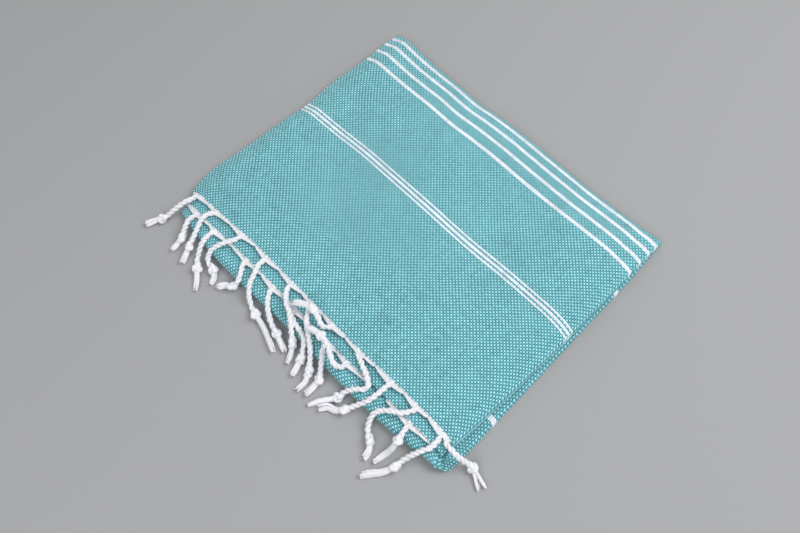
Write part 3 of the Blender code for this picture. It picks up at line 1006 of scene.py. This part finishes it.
def make_tassel(name, route, knot_point, seed, fatness=1.0, knot_size=1.0, fork=False):
    """One tassel along its route, made in place of its solid, which it hides."""
    dice = random.Random(seed)
    line = settled(smooth_line(route))
    knot_place = np.linalg.norm(line - np.array(route[knot_point + 2]), axis=1).argmin()
    writer = MeshWriter()
    add_rope(writer, line[:knot_place + 1], dice, fatness)
    add_knot(writer, line, knot_place, dice, knot_size)
    add_loose_end(writer, line[knot_place:], dice, fork)
    add_fuzz(writer, line, dice)
    tassel = writer.make("knotted_" + name, cotton)
    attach(tassel, "root")
    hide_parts(name)
    return tassel


tassels = []
counts = {"top": 0, "under": 0}
for ply, root_x, knot_point, rest in FRONT_TASSELS:
    counts[ply] += 1
    name = f"tassel_{ply}_{counts[ply]:02d}"
    route = front_route(ply, root_x, rest)
    tassels.append(make_tassel(name, route, knot_point, FIRST_SEED + len(tassels),
                               fork=root_x > FORKED_PAST))
for row in ("lower", "upper"):
    for index, route in enumerate(tucked_routes(row)):
        name = f"tassel_tucked_{row}_{index + 1:02d}"
        tassels.append(make_tassel(name, route, TUCKED_KNOT, FIRST_SEED + len(tassels),
                                   TUCKED_FATNESS, TUCKED_KNOT_SIZE))
print("tassels:", len(tassels))

# %% [markdown]
# ## Warp threads at the fringed edges
# Between the cloth and each tassel the bare warp threads show. They leave the edge
# side by side and run together into the root, so each tassel has a small fan of them
# to its left and right, and the fans meet in a zigzag along the edge.

# %% Fans of warp threads
def edge_place(layer_across, along):
    """A point of the cloth in millimetres, from its place on the flat cloth."""
    x, y, z = folded(np.array([layer_across]), np.array([along]))
    return np.array((x[0], y[0], z[0]))


FAN_REACH = 19
SEEN_THREADS, HIDDEN_THREADS = 34, 8


def add_fan(writer, root_line, across_places, along, seed):
    """Threads from these places on the cloth's edge into the start of a tassel."""
    dice = random.Random(seed)
    for place in across_places:
        start = edge_place(place, along) + np.array([0, 0, 0.2])
        inside = edge_place(place, along + (1.5 if along < 1 else -1.5))
        meet = root_line[min(len(root_line) - 1, int(dice.uniform(4, 7)))]
        meet = meet + np.array([dice.uniform(-0.6, 0.6), 0, dice.uniform(-0.4, 0.4)])
        away = unit(start - inside)
        bend = start + away * dice.uniform(0.7, 1.5)
        middle_point = bend * 0.5 + meet * 0.5 + np.array([0, dice.uniform(-0.3, 0.3), 0.2])
        thread = smooth_line([inside, start, bend, middle_point, meet], 0.8)
        writer.tube(thread, dice.uniform(0.30, 0.46), sides=5)


def spans_between(roots, left, right):
    """For each root, the stretch of edge whose threads run into it."""
    order = sorted(range(len(roots)), key=lambda i: roots[i])
    places = {}
    for rank, item in enumerate(order):
        before = roots[order[rank - 1]] if rank else 2 * left - roots[item]
        after = roots[order[rank + 1]] if rank + 1 < len(order) else 2 * right - roots[item]
        places[item] = ((before + roots[item]) / 2 + 0.5, (after + roots[item]) / 2 - 0.5)
    return places


def fan_piece(name, rope_starts, to_across, along, threads, seed):
    """One object with the fans of a whole row of tassels."""
    writer = MeshWriter()
    roots = [float(line[0][0]) for line in rope_starts]
    spans = spans_between(roots, LEFT + 1, SIDE_AXIS - 1)
    for item, line in enumerate(rope_starts):
        left, right = spans[item]
        left, right = max(left, roots[item] - FAN_REACH), min(right, roots[item] + FAN_REACH)
        places = [to_across(x) for x in np.linspace(left, right, threads)]
        add_fan(writer, line, places, along, seed + item)
    fans = writer.make(name, cotton)
    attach(fans, "root")
    return fans


def on_outer_layer(x):
    return float(np.clip(x - LEFT, 0.3, HALF_WIDTH))


def on_inner_layer(x):
    return float(np.clip(CLOTH_WIDTH - (x - LEFT), HALF_WIDTH + SIDE_TURN, CLOTH_WIDTH - 0.3))


def starts(routes):
    return [settled(smooth_line(route)) for route in routes]


def front_starts(ply):
    return starts(front_route(on, x, rest) for on, x, _, rest in FRONT_TASSELS if on == ply)


fans = [
    fan_piece("warp_threads_top", front_starts("top"), on_outer_layer,
              0.0, SEEN_THREADS, 500),
    fan_piece("warp_threads_under", front_starts("under"), on_inner_layer,
              0.0, SEEN_THREADS, 520),
    fan_piece("warp_threads_tucked_upper", starts(tucked_routes("upper")), on_outer_layer,
              CLOTH_LENGTH, HIDDEN_THREADS, 540),
    fan_piece("warp_threads_tucked_lower", starts(tucked_routes("lower")), on_inner_layer,
              CLOTH_LENGTH, HIDDEN_THREADS, 560),
]
print("fans of warp threads:", len(fans))

# %% [markdown]
# ## Floor and light
# A pale floor and two large soft lamps are enough to show cloth. The key stands high
# at the back right, so the weave and the tassels throw short soft shadows towards the
# front left. The sky fills the rest.

# %% Floor
floor_mesh = bpy.data.meshes.new("floor")
HALF_FLOOR = 3.0
floor_mesh.from_pydata(
    [(-HALF_FLOOR, -HALF_FLOOR, 0), (HALF_FLOOR, -HALF_FLOOR, 0),
     (HALF_FLOOR, HALF_FLOOR, 0), (-HALF_FLOOR, HALF_FLOOR, 0)], [], [(0, 1, 2, 3)])
floor_material, _, floor_shader = new_material("pale_floor")
floor_shader.inputs["Base Color"].default_value = colour(0.34, 0.34, 0.342)
floor_shader.inputs["Roughness"].default_value = 0.8
floor = link_mesh("floor", floor_mesh, floor_material)
print("floor side in m:", 2 * HALF_FLOOR)


# %% Lamps and sky
def add_lamp(name, place, size, power):
    """A square area lamp that faces the towel."""
    data = bpy.data.lights.new(name, "AREA")
    data.size = size
    data.energy = power
    lamp = bpy.data.objects.new(name, data)
    lamp.location = place
    lamp.rotation_mode = "QUATERNION"
    lamp.rotation_quaternion = (-Vector(place)).to_track_quat("-Z", "Y")
    bpy.context.scene.collection.objects.link(lamp)
    return lamp


lamps = [
    add_lamp("key_softbox", (0.45, 0.60, 1.10), 0.8, 11.0),
    add_lamp("fill_softbox", (0.20, -0.95, 0.90), 0.9, 6.0),
]
world = bpy.data.worlds.new("studio_sky")
bpy.context.scene.world = world
world.use_nodes = True
sky = world.node_tree.nodes["Background"]
sky.inputs["Color"].default_value = colour(0.95, 0.97, 1.0)
sky.inputs["Strength"].default_value = 0.52
print("lamps:", [lamp.name for lamp in lamps])
